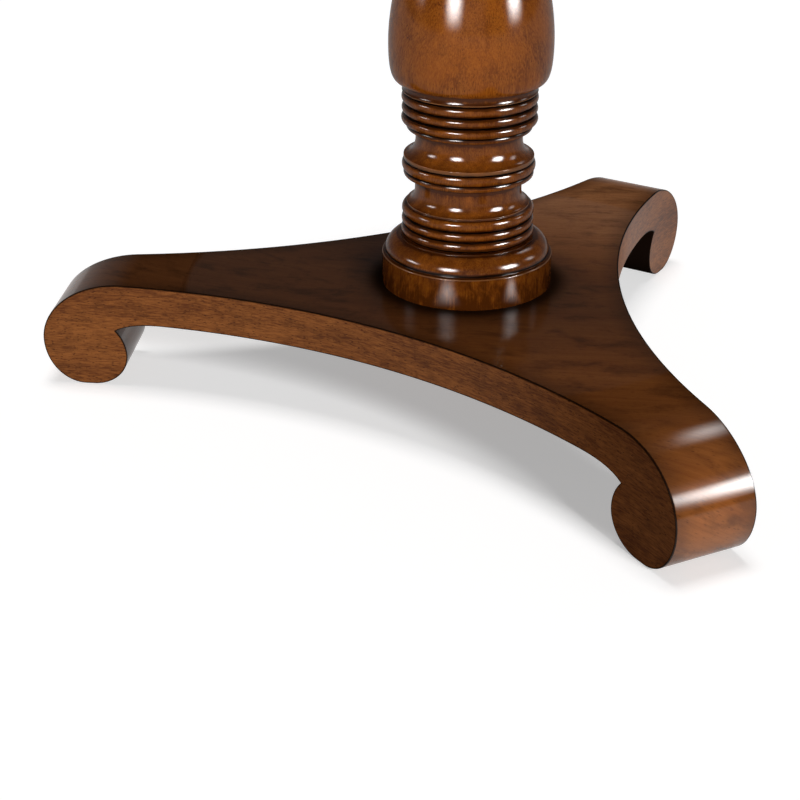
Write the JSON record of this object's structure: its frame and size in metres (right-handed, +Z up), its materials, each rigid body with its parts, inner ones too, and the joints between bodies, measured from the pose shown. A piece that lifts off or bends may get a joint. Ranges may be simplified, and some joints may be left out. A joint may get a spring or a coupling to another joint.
{
  "type": "center table",
  "caption": "Round pedestal center table: moulded round top and apron on a turned vase column, over a hollow-sided triangular platform with scrolled feet.",
  "frame": {"origin": "on the floor, under the column's axis", "axes": "+Z up along the column; -X along the left foot; +Y away from the viewer"},
  "size_m": [1.066, 1.066, 0.762],
  "materials": {
    "polished_mahogany": "glossy lacquer, dark glaze in the grooves",
    "mahogany_veneer": "satin to glossy lacquer over a straight-grained veneer",
    "secondary_wood": "sawn and sealed, no stain",
    "steel": "zinc plated"
  },
  "bodies": {
    "root": {"foot_dowel_left_a": "secondary_wood", "foot_dowel_left_b": "secondary_wood", "scroll_foot_left": "polished_mahogany", "foot_dowel_front_a": "secondary_wood", "foot_dowel_front_b": "secondary_wood", "scroll_foot_front": "polished_mahogany", "foot_dowel_rear_a": "secondary_wood", "foot_dowel_rear_b": "secondary_wood", "scroll_foot_rear": "polished_mahogany", "base_platform": "mahogany_veneer", "column_plinth": "polished_mahogany", "lower_stem": "polished_mahogany", "upper_stem": "polished_mahogany", "column_vase": "polished_mahogany", "column_collar": "polished_mahogany", "column_capital": "polished_mahogany", "head_dowel_a": "secondary_wood", "head_dowel_b": "secondary_wood", "bearer_screw_1": "steel", "bearer_screw_2": "steel", "bearer_screw_3": "steel", "bearer_screw_4": "steel", "bearer_screw_5": "steel", "bearer_screw_6": "steel", "bearer_screw_7": "steel", "bearer_screw_8": "steel", "bearer_lower": "secondary_wood", "bearer_upper": "secondary_wood", "top_panel": "mahogany_veneer", "tie_rod": "steel", "washer_lower": "steel", "nut_lower": "steel", "washer_upper": "steel", "nut_upper": "steel", "top_edge_1": "polished_mahogany", "top_edge_2": "polished_mahogany", "top_edge_3": "polished_mahogany", "top_edge_4": "polished_mahogany", "top_edge_5": "polished_mahogany", "top_edge_6": "polished_mahogany", "top_edge_7": "polished_mahogany", "top_edge_8": "polished_mahogany", "apron_1": "polished_mahogany", "apron_2": "polished_mahogany", "apron_3": "polished_mahogany", "apron_4": "polished_mahogany", "apron_5": "polished_mahogany", "apron_6": "polished_mahogany", "apron_7": "polished_mahogany", "apron_8": "polished_mahogany", "glue_block_1": "secondary_wood", "glue_block_2": "secondary_wood", "glue_block_3": "secondary_wood", "glue_block_4": "secondary_wood", "glue_block_5": "secondary_wood", "glue_block_6": "secondary_wood", "glue_block_7": "secondary_wood", "glue_block_8": "secondary_wood"}
  },
  "joints": []
}
